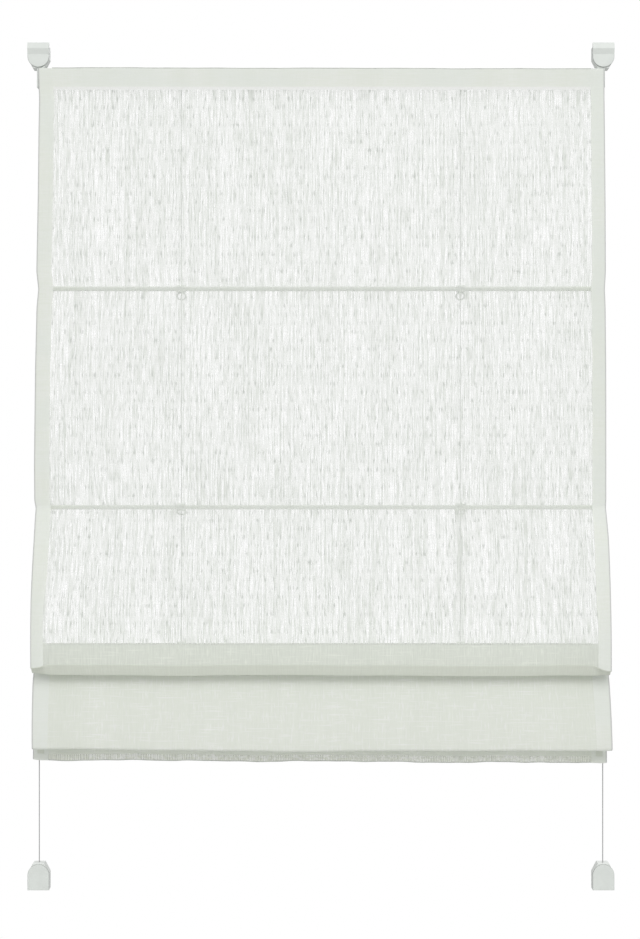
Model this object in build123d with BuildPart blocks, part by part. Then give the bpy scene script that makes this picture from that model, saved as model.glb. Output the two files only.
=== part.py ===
from build123d import *
import os
from math import cos, radians, sin

os.makedirs("parts", exist_ok=True)

# Frame: X to the right, Y back towards the window sash, Z up.
# Origin: the middle of the head rail's flat back, which lies on the front face of the sash.

# Cloth: one sheet with three rod pockets, side hems and a bottom hem
cloth_width = 804.0
cloth_thick = 0.8
hem_width = 18.0
bottom_hem = 25.0
cloth_bottom_z = -967.0
rod_1_z = -298.6
rod_2_z = -607.6
rod_3_z = -803.0

# Fold 1 hangs between rods 2 and 3, fold 2 between rod 3 and the moving rail
fold_1_mid = (36.0, -736.0)
fold_1_end = (45.2, -831.0)
fold_1_width = 17.6
fold_1_back = (-1.2, -801.2)
fold_2_mid = (18.0, -850.0)
fold_2_end = (42.0, -935.0)
fold_2_width = 17.0
turn_width = 1.2

# Rods in their pockets
rod_radius = 2.0
rod_setback = 6.5
rod_play = 0.15
pocket_sink = 0.5

# Rails
rail_depth = 18.0
head_height = 27.0
moving_height = 18.0
moving_top_z = -815.0
rail_wall = 1.4
rail_corner = 1.5
tube_setback = 12.5
cap_outer = 12.4
cap_plug = 12.0
plug_play = 0.1

# Hook and loop tapes
tape_thick = 1.0
tape_gap = 1.0
head_tape_height = 20.0
moving_tape_height = 14.0

# Cords and what guides them
cord_radius = 0.7
cord_overhang = 10.5
drop_x = 198.0
cord_bend = 5.0
cord_y = -9.0
cord_offset = 0.9
head_run_z = -1.0
moving_run_drop = 10.5
knot_radius = 1.7
channel_radius = 1.0
guide_width = 20.0
guide_neck = 3.2
guide_flange = 5.0
flange_thick = 0.8

# Ring clips on the rods
clip_width = 11.6
clip_front_gap = 0.3
clip_depth = 6.8
clip_height = 10.0
clip_play = 0.05
clip_mouth = 3.2
clip_slit = 13.0
ring_radius = 6.0
ring_wire = 1.1
ring_reach = 12.5
arm_width = 4.6
arm_thick = 2.0
arm_start = 3.0
ring_tilts = (38.0, 54.0, 58.0)

# Sash holders
top_tip_z = head_height / 2
bottom_tip_z = -1112.0
top_length = 31.0
bottom_length = 38.0
top_cover_rise = 5.2
cover_width = 30.6
cover_thick = 2.5
cover_setback = 1.5
cover_edge = 1.0
roll_height = 16.5
roll_rise = 1.9
roll_round = 4.0
shoe_width = 29.6
shoe_depth = 16.0
tip_width = 15.6
taper_length = 13.4
shoe_edge = 1.2
channel_width = 7.0
channel_start = 4.0
channel_end_gap = 9.5
peg_radius = 1.4
peg_length = 4.5
peg_play = 0.1
peg_spread = 21.0
peg_height = 20.0

# Sliding hooks that grip the sash
hook_width = 13.0
hook_thick = 2.0
hook_play = 0.3
hook_top_gap = 3.3
hook_inside = 10.0
sash_gap = 16.0
hook_leg = 18.0
hook_bend = 3.0
slot_floor = 0.4
screw_radius = 1.5
screw_play = 0.05
screw_y = -3.5
screw_recess = 0.3
socket_radius = 0.9
socket_depth = 1.4

# Cord anchors and springs inside the holders
anchor_radius = 3.0
anchor_length = 6.0
anchor_play = 0.1
spring_radius = 2.3
spring_wire = 0.35
spring_turns = 7
spring_length = 12.0

rod_levels = (rod_1_z, rod_2_z, rod_3_z)
rod_length = cloth_width - 2 * rod_setback
tube_length = cloth_width - 2 * tube_setback
tape_length = cloth_width - 2 * hem_width - 2 * tape_gap
cord_x = tube_length / 2 + cord_overhang
cloth_back_y = -rail_depth - 2 * tape_thick
cloth_front_y = cloth_back_y - cloth_thick
pocket_inner = rod_radius + rod_play
pocket_outer = pocket_inner + cloth_thick
rod_y = cloth_back_y + pocket_outer - pocket_sink
moving_mid_z = moving_top_z - moving_height / 2
moving_bottom_z = moving_top_z - moving_height
moving_run_z = moving_top_z - moving_run_drop
cap_end = tube_length / 2 + cap_outer

# Cord a starts at the top left holder, cord b at the top right one; they cross in the moving rail
cord_sides = {"a": -1, "b": 1}
cord_planes = {"a": cord_y - cord_offset, "b": cord_y + cord_offset}

# Holder name: side, tip height, outward direction, length, how far its cover stands past it, its cord
holders = {
    "top_left": (-1, top_tip_z, 1, top_length, top_cover_rise, "a"),
    "top_right": (1, top_tip_z, 1, top_length, top_cover_rise, "b"),
    "bottom_left": (-1, bottom_tip_z, -1, bottom_length, 0, "b"),
    "bottom_right": (1, bottom_tip_z, -1, bottom_length, 0, "a"),
}


def keep(part, name):
    part.label = name
    export_step(part, f"parts/{name}.step")


def ahead(point):
    # A point given as (distance ahead of the cloth's front, height)
    return (cloth_front_y - point[0], point[1])


def sheet_section(layers):
    # The cloth's side view, drawn along its front face and thickened to the back
    with BuildSketch() as section:
        with BuildLine():
            flat = Line((cloth_front_y, top_tip_z), (cloth_front_y, rod_levels[1]))
            front_1 = ThreePointArc(flat @ 1, ahead(fold_1_mid), ahead(fold_1_end))
            under_1 = TangentArc(
                front_1 @ 1,
                front_1 @ 1 + Vector(fold_1_width, 0),
                tangent=front_1 % 1,
            )
            TangentArc(under_1 @ 1, ahead(fold_1_back), tangent=under_1 % 1)
            offset(amount=layers * cloth_thick, side=Side.LEFT)
        make_face()
        with BuildLine():
            start = ahead((0, rod_levels[2]))
            front_2 = ThreePointArc(start, ahead(fold_2_mid), ahead(fold_2_end))
            heading = front_2 % 1
            across = Vector(-heading.Y, heading.X) * fold_2_width
            under_2 = TangentArc(front_2 @ 1, front_2 @ 1 + across, tangent=heading)
            leaving = under_2 % 1
            rise = (cloth_front_y - turn_width - (under_2 @ 1).X) / leaving.X
            back_2 = Line(under_2 @ 1, under_2 @ 1 + leaving * rise)
            turn = TangentArc(
                back_2 @ 1, back_2 @ 1 + Vector(turn_width, 0), tangent=leaving
            )
            Line(turn @ 1, (cloth_front_y, cloth_bottom_z))
            offset(amount=layers * cloth_thick, side=Side.RIGHT)
        make_face()
    return section.sketch_local


# Cloth
with BuildPart() as cloth:
    with BuildSketch(Plane.YZ.offset(-cloth_width / 2)):
        add(sheet_section(1))
        with Locations(*[(rod_y, level) for level in rod_levels]):
            Circle(pocket_outer)
        with Locations(*[(rod_y, level) for level in rod_levels]):
            Circle(pocket_inner, mode=Mode.SUBTRACT)
        with Locations((cloth_back_y, cloth_bottom_z)):
            Rectangle(2 * cloth_thick, bottom_hem, align=(Align.CENTER, Align.MIN))
    extrude(amount=cloth_width)
    for side in (-1, 1):
        with BuildSketch(Plane.YZ.offset(side * cloth_width / 2)):
            add(sheet_section(2))
            with Locations(*[(rod_y, level) for level in rod_levels]):
                Circle(pocket_inner, mode=Mode.SUBTRACT)
        extrude(amount=-side * hem_width)
    for level in rod_levels:
        for side in (-1, 1):
            with Locations((side * drop_x, cloth_back_y, level)):
                Box(
                    clip_slit,
                    2 * pocket_outer,
                    2 * pocket_outer,
                    align=(Align.CENTER, Align.MIN, Align.CENTER),
                    mode=Mode.SUBTRACT,
                )
keep(cloth.part, "cloth")

# Rods
for number, level in enumerate(rod_levels, 1):
    with BuildPart() as rod:
        with BuildSketch(Plane.YZ.offset(-rod_length / 2)):
            with Locations((rod_y, level)):
                Circle(rod_radius)
        extrude(amount=rod_length)
    keep(rod.part, f"rod_{number}")


def ring_clip(x, level, tilt):
    back = sin(radians(tilt))
    down = -cos(radians(tilt))
    reach = Vector(0, back, down)
    facing = (0, -down, back)
    centre = Vector(x, rod_y, level)
    front = cloth_back_y + clip_front_gap
    arm_length = ring_reach - ring_radius - arm_start
    with BuildPart() as clip:
        with Locations((x, front, level)):
            Box(
                clip_width,
                clip_depth,
                clip_height,
                align=(Align.CENTER, Align.MIN, Align.CENTER),
            )
        fillet(clip.edges().filter_by(Axis.X), ring_wire)
        with Locations(Plane(centre + reach * arm_start, (1, 0, 0), facing)):
            Box(
                arm_width,
                arm_length,
                arm_thick,
                align=(Align.CENTER, Align.MIN, Align.CENTER),
            )
        ring_middle = centre + reach * ring_reach
        with BuildSketch(Plane(ring_middle, reach, (1, 0, 0))):
            with Locations((ring_radius, 0)):
                Circle(ring_wire)
        revolve(axis=Axis(ring_middle, facing))
        with BuildSketch(Plane.YZ.offset(x - clip_width / 2)):
            with Locations((rod_y, level)):
                Circle(rod_radius + clip_play)
                Rectangle(clip_depth, clip_mouth, align=(Align.MAX, Align.CENTER))
        extrude(amount=clip_width, mode=Mode.SUBTRACT)
    return clip.part


for number, (level, tilt) in enumerate(zip(rod_levels, ring_tilts), 1):
    for name, side in (("left", -1), ("right", 1)):
        keep(ring_clip(side * drop_x, level, tilt), f"ring_clip_{number}_{name}")


def rail_tube(height, middle, hole_z):
    with BuildPart() as tube:
        with BuildSketch(Plane.YZ.offset(-tube_length / 2)):
            with Locations((-rail_depth / 2, middle)):
                RectangleRounded(rail_depth, height, rail_corner)
                Rectangle(
                    rail_depth - 2 * rail_wall,
                    height - 2 * rail_wall,
                    mode=Mode.SUBTRACT,
                )
        extrude(amount=tube_length)
        for cord, side in cord_sides.items():
            with BuildSketch(Plane.XY.offset(hole_z)):
                with Locations((side * drop_x, cord_planes[cord])):
                    Circle(guide_neck + plug_play)
            extrude(amount=rail_wall, both=True, mode=Mode.SUBTRACT)
    return tube.part


keep(rail_tube(head_height, 0, -head_height / 2), "head_rail")
keep(rail_tube(moving_height, moving_mid_z, moving_top_z), "moving_rail")

# The way of each cord, as (x, z) points in the cord's own plane
head_low_z = -head_height / 2 - flange_thick
moving_high_z = moving_top_z + flange_thick
anchor_end_top = channel_start + anchor_length
anchor_end_bottom = channel_start + spring_length + anchor_length
head_start_z = top_tip_z + anchor_end_top + knot_radius
tail_end_z = bottom_tip_z - anchor_end_bottom - knot_radius
cord_ways = {}
for cord, side in cord_sides.items():
    cord_ways[cord] = {
        "head": [
            (side * cord_x, head_start_z),
            (side * cord_x, head_run_z),
            (side * drop_x, head_run_z),
            (side * drop_x, head_low_z),
        ],
        "drop": [(side * drop_x, head_low_z), (side * drop_x, moving_high_z)],
        "rail": [
            (side * drop_x, moving_high_z),
            (side * drop_x, moving_run_z),
            (-side * cord_x, moving_run_z),
            (-side * cord_x, moving_bottom_z),
        ],
        "tail": [(-side * cord_x, moving_bottom_z), (-side * cord_x, tail_end_z)],
    }


def tube_along(points, plane_y, radius):
    with BuildPart() as tube:
        with BuildLine(Plane.XZ.offset(-plane_y)) as way:
            if points[2:]:
                FilletPolyline(*points, radius=cord_bend)
            else:
                Line(*points)
        with BuildSketch(way.line ^ 0):
            Circle(radius)
        sweep()
    return tube.part


# Cords, each in four stretches: in the head rail, down the clips, in the moving rail, down to its holder
knots = {"head": head_start_z, "tail": tail_end_z}
for cord, ways in cord_ways.items():
    for stretch, points in ways.items():
        with BuildPart() as run:
            add(tube_along(points, cord_planes[cord], cord_radius))
            if stretch in knots:
                knot_x = points[0][0]
                with Locations((knot_x, cord_planes[cord], knots[stretch])):
                    Sphere(knot_radius)
        keep(run.part, f"cord_{cord}_{stretch}")


def end_cap(side, height, middle, points, plane_y):
    inner_depth = rail_depth - 2 * rail_wall - 2 * plug_play
    inner_height = height - 2 * rail_wall - 2 * plug_play
    with BuildPart() as cap:
        with BuildSketch(Plane.YZ.offset(side * tube_length / 2)):
            with Locations((-rail_depth / 2, middle)):
                RectangleRounded(rail_depth, height, rail_corner)
        extrude(amount=side * cap_outer)
        with BuildSketch(Plane.YZ.offset(side * tube_length / 2)):
            with Locations((-rail_depth / 2, middle)):
                Rectangle(inner_depth, inner_height)
        extrude(amount=-side * cap_plug)
        add(tube_along(points, plane_y, channel_radius), mode=Mode.SUBTRACT)
    return cap.part


cap_names = {-1: "left", 1: "right"}
for cord, side in cord_sides.items():
    head_way = cord_ways[cord]["head"]
    rail_way = cord_ways[cord]["rail"]
    head_part = end_cap(side, head_height, 0, head_way, cord_planes[cord])
    rail_part = end_cap(
        -side, moving_height, moving_mid_z, rail_way, cord_planes[cord]
    )
    keep(head_part, f"head_cap_{cap_names[side]}")
    keep(rail_part, f"moving_cap_{cap_names[-side]}")


def cord_guide(cord, height, middle, wall_z, flange_z, passing):
    # A block inside the rail with a neck through its wall, bored along the cords that pass it
    x = cord_sides[cord] * drop_x
    inner_depth = rail_depth - 2 * rail_wall - 2 * plug_play
    inner_height = height - 2 * rail_wall - 2 * plug_play
    with BuildPart() as guide:
        with Locations((x, -rail_depth / 2, middle)):
            Box(guide_width, inner_depth, inner_height)
        with BuildSketch(Plane.XY.offset(middle)):
            with Locations((x, cord_planes[cord])):
                Circle(guide_neck)
        extrude(amount=wall_z - middle)
        with BuildSketch(Plane.XY.offset(wall_z)):
            with Locations((x, cord_planes[cord])):
                Circle(guide_flange)
        extrude(amount=flange_z - wall_z)
        for other, stretch in passing:
            channel = tube_along(
                cord_ways[other][stretch], cord_planes[other], channel_radius
            )
            add(channel, mode=Mode.SUBTRACT)
    return guide.part


for cord, side in cord_sides.items():
    other = "b" if cord == "a" else "a"
    head_part = cord_guide(
        cord, head_height, 0, -head_height / 2, head_low_z, [(cord, "head")]
    )
    rail_part = cord_guide(
        cord,
        moving_height,
        moving_mid_z,
        moving_top_z,
        moving_high_z,
        [(cord, "rail"), (other, "rail")],
    )
    keep(head_part, f"head_guide_{cap_names[side]}")
    keep(rail_part, f"moving_guide_{cap_names[side]}")


# Tapes: the hook half on each rail's front, the loop half on the cloth's back
tapes = {
    "head_hook_tape": (-rail_depth, 0, head_tape_height),
    "head_loop_tape": (-rail_depth - tape_thick, 0, head_tape_height),
    "moving_hook_tape": (-rail_depth, moving_mid_z, moving_tape_height),
    "moving_loop_tape": (-rail_depth - tape_thick, moving_mid_z, moving_tape_height),
}
for name, (back_y, middle, height) in tapes.items():
    with BuildPart() as tape:
        with Locations((0, back_y, middle)):
            Box(
                tape_length,
                tape_thick,
                height,
                align=(Align.CENTER, Align.MAX, Align.CENTER),
            )
    keep(tape.part, name)


def holder_plane(side, tip_z, outward):
    # Local x across, local y from the cord's end outwards, local z away from the sash
    return Plane((side * cord_x, 0, tip_z), (outward, 0, 0), (0, -1, 0))


def holder_axis(plane, depth):
    # A plane across the holder's length at a given distance from the sash
    return Plane(plane.from_local_coords((0, 0, depth)), plane.x_dir, plane.y_dir)


def build_shoe(plane, length, cord_depth):
    half = shoe_width / 2
    channel_length = length - channel_end_gap - channel_start
    slot_middle = length - hook_top_gap - hook_thick / 2
    with BuildPart() as shoe:
        with BuildSketch(plane):
            with BuildLine():
                Polyline(
                    (-tip_width / 2, 0),
                    (tip_width / 2, 0),
                    (half, taper_length),
                    (half, length),
                    (-half, length),
                    (-half, taper_length),
                    close=True,
                )
            make_face()
        extrude(amount=shoe_depth)
        corner = plane.from_local_coords((0, length, 0))
        fillet(shoe.edges().sort_by_distance(corner)[0], shoe_edge)
        fillet(shoe.faces().sort_by(Axis.Y)[0].edges(), shoe_edge)
        with BuildSketch(plane.offset(shoe_depth)):
            with Locations((0, channel_start)):
                Rectangle(
                    channel_width, channel_length, align=(Align.CENTER, Align.MIN)
                )
        extrude(
            amount=cord_depth - channel_width / 2 - shoe_depth, mode=Mode.SUBTRACT
        )
        with BuildSketch(holder_axis(plane, cord_depth)):
            Circle(channel_radius)
        extrude(amount=channel_start, mode=Mode.SUBTRACT)
        with BuildSketch(plane):
            with Locations((0, slot_middle)):
                Rectangle(hook_width + 2 * hook_play, hook_thick + 2 * hook_play)
        extrude(amount=shoe_depth - slot_floor, mode=Mode.SUBTRACT)
        with BuildSketch(holder_axis(plane, -screw_y).offset(slot_middle)):
            Circle(screw_radius + screw_play)
        extrude(amount=length - slot_middle, mode=Mode.SUBTRACT)
        with BuildSketch(plane.offset(shoe_depth)):
            with Locations((-peg_spread / 2, peg_height), (peg_spread / 2, peg_height)):
                Circle(peg_radius + peg_play)
        extrude(amount=-peg_length - peg_play, mode=Mode.SUBTRACT)
    return shoe.part


def build_cover(plane, length, rolled):
    half = cover_width / 2
    straight = cover_setback + half
    with BuildPart() as cover:
        with BuildSketch(plane.offset(shoe_depth)):
            with BuildLine():
                Line((half, straight), (half, length))
                Line((half, length), (-half, length))
                Line((-half, length), (-half, straight))
                ThreePointArc((-half, straight), (0, cover_setback), (half, straight))
            make_face()
        extrude(amount=cover_thick)
        fillet(cover.faces().sort_by(Axis.Y)[0].edges(), cover_edge)
        if rolled:
            side_plane = Plane(
                plane.from_local_coords((-half, length, shoe_depth)),
                plane.y_dir,
                plane.x_dir,
            )
            with BuildSketch(side_plane):
                with BuildLine():
                    Line((0, 0), (0, cover_thick))
                    FilletPolyline(
                        (0, cover_thick),
                        (-roll_height / 2, cover_thick + roll_rise),
                        (-roll_height, cover_thick),
                        radius=roll_round,
                    )
                    Line((-roll_height, cover_thick), (-roll_height, 0))
                    Line((-roll_height, 0), (0, 0))
                make_face()
            extrude(amount=cover_width)
        with BuildSketch(plane.offset(shoe_depth)):
            with Locations((-peg_spread / 2, peg_height), (peg_spread / 2, peg_height)):
                Circle(peg_radius)
        extrude(amount=-peg_length)
    return cover.part


def build_hook(plane, length):
    top = length - hook_top_gap
    with BuildPart() as hook:
        side_plane = Plane(
            plane.from_local_coords((-hook_width / 2, 0, 0)), plane.y_dir, plane.x_dir
        )
        with BuildSketch(side_plane):
            with BuildLine():
                Polyline(
                    (top, hook_inside),
                    (top, -sash_gap - hook_thick),
                    (top - hook_thick - hook_leg, -sash_gap - hook_thick),
                    (top - hook_thick - hook_leg, -sash_gap),
                    (top - hook_thick, -sash_gap),
                    (top - hook_thick, hook_inside),
                    close=True,
                )
            make_face()
        extrude(amount=hook_width)
        corner = plane.from_local_coords((0, top, -sash_gap - hook_thick))
        fillet(hook.edges().sort_by_distance(corner)[0], hook_bend)
    return hook.part


def build_anchor(plane, cord_depth, start):
    with BuildPart() as anchor:
        with BuildSketch(holder_axis(plane, cord_depth).offset(start)):
            Circle(anchor_radius)
            Circle(cord_radius + anchor_play, mode=Mode.SUBTRACT)
        extrude(amount=anchor_length)
    return anchor.part


def build_spring(plane, cord_depth):
    axis = holder_axis(plane, cord_depth)
    reach = spring_length - 2 * spring_wire
    with BuildPart() as spring:
        with BuildLine() as coil:
            Helix(
                reach / spring_turns,
                reach,
                spring_radius,
                center=axis.offset(channel_start + spring_wire).origin,
                direction=axis.z_dir,
            )
        with BuildSketch(coil.line ^ 0):
            Circle(spring_wire)
        sweep(is_frenet=True)
    return spring.part


def build_screw(plane, length):
    tip = length - hook_top_gap + hook_play
    with BuildPart() as screw:
        with BuildSketch(holder_axis(plane, -screw_y).offset(tip)):
            Circle(screw_radius)
        extrude(amount=length - screw_recess - tip)
        with BuildSketch(holder_axis(plane, -screw_y).offset(length - screw_recess)):
            RegularPolygon(socket_radius, 6)
        extrude(amount=-socket_depth, mode=Mode.SUBTRACT)
    return screw.part


# Holders
with BuildPart() as clamp_screws:
    for name, (side, tip_z, outward, length, cover_rise, cord) in holders.items():
        plane = holder_plane(side, tip_z, outward)
        add(build_screw(plane, length))
keep(clamp_screws.part, "clamp_screws")

for name, (side, tip_z, outward, length, cover_rise, cord) in holders.items():
    plane = holder_plane(side, tip_z, outward)
    cord_depth = -cord_planes[cord]
    sprung = outward < 0
    start = channel_start + (spring_length if sprung else 0)
    keep(build_shoe(plane, length, cord_depth), f"{name}_shoe")
    keep(build_cover(plane, length + cover_rise, not sprung), f"{name}_cover")
    keep(build_hook(plane, length), f"{name}_hook")
    keep(build_anchor(plane, cord_depth, start), f"{name}_anchor")
    if sprung:
        keep(build_spring(plane, cord_depth), f"{name}_spring")
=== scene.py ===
"""Looks of a cord-tensioned roman blind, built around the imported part.

Sizes of the blind are in millimetres. The camera, the lamps, the floor and the textures are in metres.
"""

import math

import bpy
import numpy as np
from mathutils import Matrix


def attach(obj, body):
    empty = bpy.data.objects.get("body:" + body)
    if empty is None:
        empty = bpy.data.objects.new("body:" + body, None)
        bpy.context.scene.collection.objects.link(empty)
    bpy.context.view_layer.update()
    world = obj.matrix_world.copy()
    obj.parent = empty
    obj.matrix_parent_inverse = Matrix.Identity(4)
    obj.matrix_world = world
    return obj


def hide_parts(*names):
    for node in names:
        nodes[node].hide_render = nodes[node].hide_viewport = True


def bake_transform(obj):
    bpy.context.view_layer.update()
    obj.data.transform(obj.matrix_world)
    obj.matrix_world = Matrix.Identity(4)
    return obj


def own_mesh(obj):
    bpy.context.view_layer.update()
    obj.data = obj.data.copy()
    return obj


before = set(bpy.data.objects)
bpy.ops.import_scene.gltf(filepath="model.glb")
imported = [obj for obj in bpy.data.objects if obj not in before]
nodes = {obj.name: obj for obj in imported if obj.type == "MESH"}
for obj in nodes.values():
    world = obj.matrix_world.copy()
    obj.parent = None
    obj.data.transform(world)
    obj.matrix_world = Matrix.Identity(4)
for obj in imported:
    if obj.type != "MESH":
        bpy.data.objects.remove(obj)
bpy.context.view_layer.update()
scene = bpy.context.scene
MM = 0.001


# Camera, at the height of the picture's middle, straight in front
CAMERA_PLACE = (-0.0013, -2.5204, -0.5545)
CAMERA_LENS = 67.8
CAMERA_SENSOR = 36.0

camera_data = bpy.data.cameras.new("camera")
camera_data.lens = CAMERA_LENS
camera_data.sensor_width = CAMERA_SENSOR
camera = bpy.data.objects.new("camera", camera_data)
camera.location = CAMERA_PLACE
camera.rotation_euler = (math.radians(90), 0, 0)
scene.collection.objects.link(camera)
scene.camera = camera


# Small helpers for shader trees
class Tree:
    def __init__(self, owner):
        owner.use_nodes = True
        self.tree = owner.node_tree
        self.tree.nodes.clear()

    def add(self, kind, **values):
        node = self.tree.nodes.new("ShaderNode" + kind)
        for name, value in values.items():
            setattr(node, name, value)
        return node

    def link(self, source, target):
        self.tree.links.new(source, target)

    def math(self, operation, first, second=None, clamp=False):
        node = self.add("Math", operation=operation, use_clamp=clamp)
        for socket, value in zip(node.inputs, (first, second)):
            self.feed(socket, value)
        return node.outputs[0]

    def feed(self, socket, value):
        if value is None:
            return
        if isinstance(value, bpy.types.NodeSocket):
            self.link(value, socket)
        else:
            socket.default_value = value

    def stretched(self, vector, factors):
        node = self.add("VectorMath", operation="MULTIPLY")
        self.link(vector, node.inputs[0])
        node.inputs[1].default_value = factors
        return node.outputs[0]

    def noise(self, vector, scale, detail=1.0, roughness=0.5):
        node = self.add("TexNoise")
        self.link(vector, node.inputs["Vector"])
        node.inputs["Scale"].default_value = scale
        node.inputs["Detail"].default_value = detail
        node.inputs["Roughness"].default_value = roughness
        return node.outputs["Fac"]

    def streaks(self, place, counts, detail=1.0):
        # Noise drawn out along one way of the cloth
        return self.noise(self.stretched(place, (*counts, 1.0)), 1.0, detail)

    def reach(self, vector, axis):
        # How far a vector goes along one axis, to either side
        split = self.add("SeparateXYZ")
        self.link(vector, split.inputs[0])
        return self.math("ABSOLUTE", split.outputs[axis])

    def spread(self, value, low, high, new_low, new_high):
        node = self.add("MapRange", clamp=True)
        self.link(value, node.inputs["Value"])
        for name, number in (
            ("From Min", low),
            ("From Max", high),
            ("To Min", new_low),
            ("To Max", new_high),
        ):
            node.inputs[name].default_value = number
        return node.outputs["Result"]

    def blend_colour(self, share, first, second):
        node = self.add("Mix", data_type="RGBA")
        self.feed(node.inputs["Factor"], share)
        self.feed(node.inputs[6], first)
        self.feed(node.inputs[7], second)
        return node.outputs[2]

    def bump(self, height, strength, distance):
        node = self.add("Bump")
        node.inputs["Strength"].default_value = strength
        node.inputs["Distance"].default_value = distance
        self.link(height, node.inputs["Height"])
        return node.outputs["Normal"]


def surface(name):
    material = bpy.data.materials.new(name)
    tree = Tree(material)
    shader = tree.add("BsdfPrincipled")
    output = tree.add("OutputMaterial")
    tree.link(shader.outputs["BSDF"], output.inputs["Surface"])
    return material, tree, shader


def rgba(red, green, blue):
    return (red, green, blue, 1.0)


def darkened(colour, share):
    return rgba(*[part * share for part in colour[:3]])


# Linen-look cloth: the texture follows the cloth's own width and length
YARN = rgba(0.875, 0.905, 0.835)
YARN_PALE = rgba(0.91, 0.93, 0.885)
YARN_DEEP = rgba(0.82, 0.855, 0.775)
YARN_SHEER = rgba(0.885, 0.91, 0.87)
YARN_SHEER_THICK = rgba(0.835, 0.865, 0.815)
YARN_LUMP = rgba(0.68, 0.705, 0.67)
HEM_COOL = rgba(0.855, 0.895, 0.85)
HEM_RIM_SHADE = rgba(0.60, 0.61, 0.60)

# Streaks and patches in a metre of cloth: (across the width, along the length)
SHORT_SLUBS = (700.0, 36.0)
LONG_SLUBS = (600.0, 11.0)
THREADS = (330.0, 2.2)
BANDS = (24.0, 4.0)
SHEER_WEFT = (36.0, 620.0)
SHEER_LUMPS = (720.0, 82.0)
HEM_WEFT = (42.0, 560.0)
HEM_CLOUDS = (9.0, 13.0)
FOLDED_SLUBS = (30.0, 430.0)
STRIP_SLUBS = (110.0, 260.0)
# The upright slubs in doubled cloth are shorter than the level ones by this
WARP_SHORTER = 2.2
# Shares of the three kinds of upright yarn
SHORT_SHARE = 0.52
LONG_SHARE = 0.30
THREAD_SHARE = 0.18

# Distances from the middle of the width where the cloth darkens to its sides, and where painted shade
# darkens the hem to its rim
SIDE_SHADE_FROM = 0.32
SIDE_SHADE_TO = 0.384
RIM_SHADE_FROM = 0.4000
RIM_SHADE_TO = 0.4014


def cloth_surface(name, glow):
    # Yarn that scatters light to both sides: a share of glow goes through
    material = bpy.data.materials.new(name)
    tree = Tree(material)
    front = tree.add("BsdfPrincipled")
    front.inputs["Specular IOR Level"].default_value = 0.1
    front.inputs["Sheen Weight"].default_value = 0.05
    through = tree.add("BsdfTranslucent")
    yarn = tree.add("MixShader")
    yarn.inputs["Fac"].default_value = glow
    tree.link(front.outputs["BSDF"], yarn.inputs[1])
    tree.link(through.outputs["BSDF"], yarn.inputs[2])
    gap = tree.add("BsdfTransparent")
    cover = tree.add("MixShader")
    cover.inputs["Fac"].default_value = 1.0
    tree.link(gap.outputs["BSDF"], cover.inputs[1])
    tree.link(yarn.outputs["Shader"], cover.inputs[2])
    output = tree.add("OutputMaterial")
    tree.link(cover.outputs["Shader"], output.inputs["Surface"])
    place = tree.add("UVMap", uv_map="weave").outputs["UV"]

    def finish(colour, roughness, relief, strength, depth):
        tree.link(colour, front.inputs["Base Color"])
        tree.link(colour, through.inputs["Color"])
        front.inputs["Roughness"].default_value = roughness
        tree.link(tree.bump(relief, strength, depth), front.inputs["Normal"])
        return material

    return tree, place, cover.inputs["Fac"], finish


def slub_streaks(tree, place):
    # Thick and thin upright yarns: short slubs, longer ones and whole threads in one, and broad bands
    short = tree.streaks(place, SHORT_SLUBS)
    long = tree.streaks(place, LONG_SLUBS)
    thread = tree.streaks(place, THREADS, 0.0)
    mixed = tree.math("MULTIPLY", short, SHORT_SHARE)
    mixed = tree.math("ADD", mixed, tree.math("MULTIPLY", long, LONG_SHARE))
    mixed = tree.math("ADD", mixed, tree.math("MULTIPLY", thread, THREAD_SHARE))
    return mixed, tree.streaks(place, BANDS)


def make_sheer():
    # Single cloth: see-through between the yarns, with darker lumps here and there
    tree, place, cover, finish = cloth_surface("linen_sheer", glow=0.42)
    streak, band = slub_streaks(tree, place)
    weft = tree.streaks(place, SHEER_WEFT)
    share = tree.spread(streak, 0.38, 0.62, 0.13, 0.98)
    share = tree.math("ADD", share, tree.spread(band, 0.3, 0.7, -0.09, 0.09))
    share = tree.math("ADD", share, tree.spread(weft, 0.36, 0.64, -0.06, 0.06))
    lump = tree.spread(tree.streaks(place, SHEER_LUMPS, 0.0), 0.64, 0.76, 0.0, 1.0)
    share = tree.math("ADD", share, tree.math("MULTIPLY", lump, 0.4), True)
    tree.link(share, cover)
    shade = tree.spread(streak, 0.42, 0.62, 0.0, 1.0)
    colour = tree.blend_colour(shade, YARN_SHEER, YARN_SHEER_THICK)
    colour = tree.blend_colour(lump, colour, YARN_LUMP)
    return finish(colour, 0.92, streak, 0.3, 0.0005)


def make_folded(name, glow, gaps, pale, plain, deep, slubs=FOLDED_SLUBS, contrast=(0.56, 0.72)):
    # Where cloth lies on cloth: few gaps, and thick places of both yarns show faintly
    tree, place, cover, finish = cloth_surface(name, glow)
    streak, band = slub_streaks(tree, place)
    weft = tree.streaks(place, slubs)
    warp = tree.streaks(place, (slubs[1], slubs[0] * WARP_SHORTER))
    tree.link(tree.spread(streak, 0.37, 0.63, *gaps), cover)
    thick = tree.math("MAXIMUM", weft, warp)
    shade = tree.spread(thick, *contrast, 1.0, 0.0)
    colour = tree.blend_colour(shade, pale, plain)
    broad = tree.spread(band, 0.35, 0.65, 0.0, 0.25)
    side = tree.spread(tree.reach(place, "X"), SIDE_SHADE_FROM, SIDE_SHADE_TO, 0.0, 0.45)
    colour = tree.blend_colour(tree.math("ADD", broad, side), colour, deep)
    return finish(colour, 0.93, thick, 0.2, 0.0004)


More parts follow.
